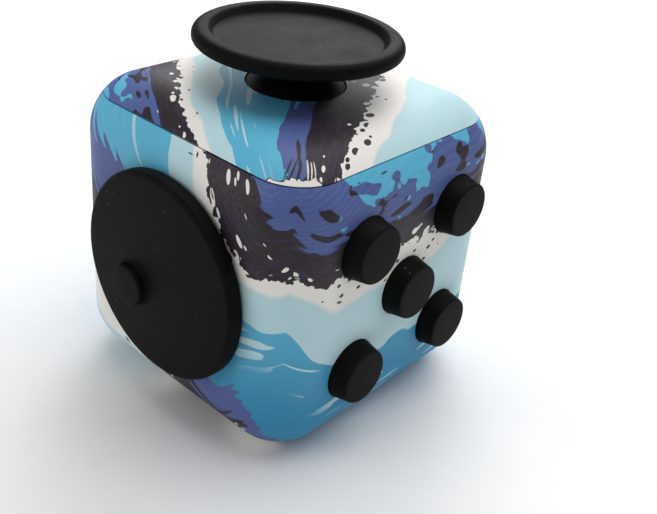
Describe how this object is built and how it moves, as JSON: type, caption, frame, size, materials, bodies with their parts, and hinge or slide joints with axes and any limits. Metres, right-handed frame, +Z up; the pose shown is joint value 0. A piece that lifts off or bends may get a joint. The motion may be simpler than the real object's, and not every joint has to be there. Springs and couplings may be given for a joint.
{
  "type": "fidget cube",
  "caption": "Pocket fidget cube in two printed shells: push buttons, spinning dial, tilting thumb stick, flip switch, click wheels with a rolling ball, and a thumb dish.",
  "frame": {"origin": "centre of the bottom face, on the plane that the cube stands on", "axes": "+Z up towards the thumb stick, +X towards the push buttons, -Y towards the dial"},
  "size_m": [0.037, 0.0382, 0.0385],
  "materials": {
    "printed_shell": "matt film print in cyan, indigo, near-black and white over moulded ABS",
    "soft_touch": "soft-touch matt black",
    "gloss_black": "smooth moulded black",
    "inner_plastic": "as moulded",
    "silicone": "translucent grey silicone",
    "steel": "zinc plated",
    "spring_steel": "bright spring steel",
    "bright_ball": "polished steel"
  },
  "bodies": {
    "case": {"lower_shell": "printed_shell", "upper_shell": "printed_shell", "case_screws": "steel", "thumb_dish": "soft_touch", "button_mat": "silicone", "snap_domes": "spring_steel", "button_plate": "inner_plastic", "button_plate_screws": "steel", "dial_wave_washer": "spring_steel", "stick_seat": "inner_plastic", "stick_seat_screws": "steel", "stick_spring": "spring_steel", "flip_pin": "steel", "flip_bracket": "inner_plastic", "flip_leaf": "spring_steel", "flip_bracket_screws": "steel", "wheel_axle": "steel", "cradle": "inner_plastic", "cradle_screws": "steel", "click_leaf": "spring_steel", "ball_spring": "spring_steel"},
    "click_button_centre": {"click_button_centre": "soft_touch"},
    "click_button_upper_near": {"click_button_upper_near": "soft_touch"},
    "click_button_lower_far": {"click_button_lower_far": "soft_touch"},
    "quiet_button_upper_far": {"quiet_button_upper_far": "soft_touch"},
    "quiet_button_lower_near": {"quiet_button_lower_near": "soft_touch"},
    "dial": {"dial": "soft_touch", "dial_retainer": "steel", "dial_screw": "steel"},
    "glide_ring": {"glide_ring": "inner_plastic"},
    "stick": {"stick_cap": "soft_touch", "stick_dome": "gloss_black", "stick_washer": "steel", "stick_screw": "steel"},
    "flip_rocker": {"flip_rocker": "soft_touch"},
    "click_wheel_1": {"click_wheel_1": "soft_touch"},
    "click_wheel_2": {"click_wheel_2": "soft_touch"},
    "click_wheel_3": {"click_wheel_3": "soft_touch"},
    "ball_cup": {"ball_cup": "inner_plastic"},
    "ball_ring": {"ball_ring": "inner_plastic"},
    "ball": {"ball": "bright_ball"}
  },
  "joints": [
    {"name": "click_button_centre_press", "type": "slide", "parent": "case", "child": "click_button_centre", "axis": [-1, 0, 0], "range_m": [0, 0.001], "stiffness_N_per_m": 500, "springref_m": -0.0008, "deforming": ["button_mat", "snap_domes"]},
    {"name": "click_button_upper_near_press", "type": "slide", "parent": "case", "child": "click_button_upper_near", "axis": [-1, 0, 0], "range_m": [0, 0.001], "stiffness_N_per_m": 500, "springref_m": -0.0008, "deforming": ["button_mat", "snap_domes"]},
    {"name": "click_button_lower_far_press", "type": "slide", "parent": "case", "child": "click_button_lower_far", "axis": [-1, 0, 0], "range_m": [0, 0.001], "stiffness_N_per_m": 500, "springref_m": -0.0008, "deforming": ["button_mat", "snap_domes"]},
    {"name": "quiet_button_upper_far_press", "type": "slide", "parent": "case", "child": "quiet_button_upper_far", "axis": [-1, 0, 0], "range_m": [0, 0.001], "stiffness_N_per_m": 500, "springref_m": -0.0008, "deforming": ["button_mat"]},
    {"name": "quiet_button_lower_near_press", "type": "slide", "parent": "case", "child": "quiet_button_lower_near", "axis": [-1, 0, 0], "range_m": [0, 0.001], "stiffness_N_per_m": 500, "springref_m": -0.0008, "deforming": ["button_mat"]},
    {"name": "dial_spin", "type": "hinge", "parent": "case", "child": "dial", "pos_m": [0.0003, -0.0165, 0.0168], "axis": [0, -1, 0], "continuous": true},
    {"name": "stick_tilt_x", "type": "hinge", "parent": "case", "child": "glide_ring", "pos_m": [0, 0, 0.028], "axis": [1, 0, 0], "range_deg": [-11, 11], "stiffness_Nm_per_rad": 0.05},
    {"name": "stick_tilt_y", "type": "hinge", "parent": "glide_ring", "child": "stick", "pos_m": [0, 0, 0.028], "axis": [0, 1, 0], "range_deg": [-11, 11], "stiffness_Nm_per_rad": 0.05, "deforming": ["stick_spring"]},
    {"name": "flip", "type": "hinge", "parent": "case", "child": "flip_rocker", "pos_m": [0, 0.0133, 0.0165], "axis": [-1, 0, 0], "range_deg": [0, 23], "deforming": ["flip_leaf"]},
    {"name": "wheel_1_roll", "type": "hinge", "parent": "case", "child": "click_wheel_1", "pos_m": [-0.014, 0, 0.0207], "axis": [0, 1, 0], "continuous": true, "deforming": ["click_leaf"]},
    {"name": "wheel_2_roll", "type": "hinge", "parent": "case", "child": "click_wheel_2", "pos_m": [-0.014, 0, 0.0207], "axis": [0, 1, 0], "continuous": true},
    {"name": "wheel_3_roll", "type": "hinge", "parent": "case", "child": "click_wheel_3", "pos_m": [-0.014, 0, 0.0207], "axis": [0, 1, 0], "continuous": true, "deforming": ["click_leaf"]},
    {"name": "ball_press", "type": "slide", "parent": "case", "child": "ball_cup", "axis": [1, 0, 0], "range_m": [0, 0.0008], "stiffness_N_per_m": 400, "springref_m": -0.0008, "deforming": ["ball_spring"]},
    {"name": "ball_twist", "type": "hinge", "parent": "ball_cup", "child": "ball_ring", "pos_m": [-0.0149, 0, 0.0109], "axis": [-1, 0, 0], "continuous": true},
    {"name": "ball_roll", "type": "hinge", "parent": "ball_ring", "child": "ball", "pos_m": [-0.0149, 0, 0.0109], "axis": [0, 1, 0], "continuous": true}
  ]
}
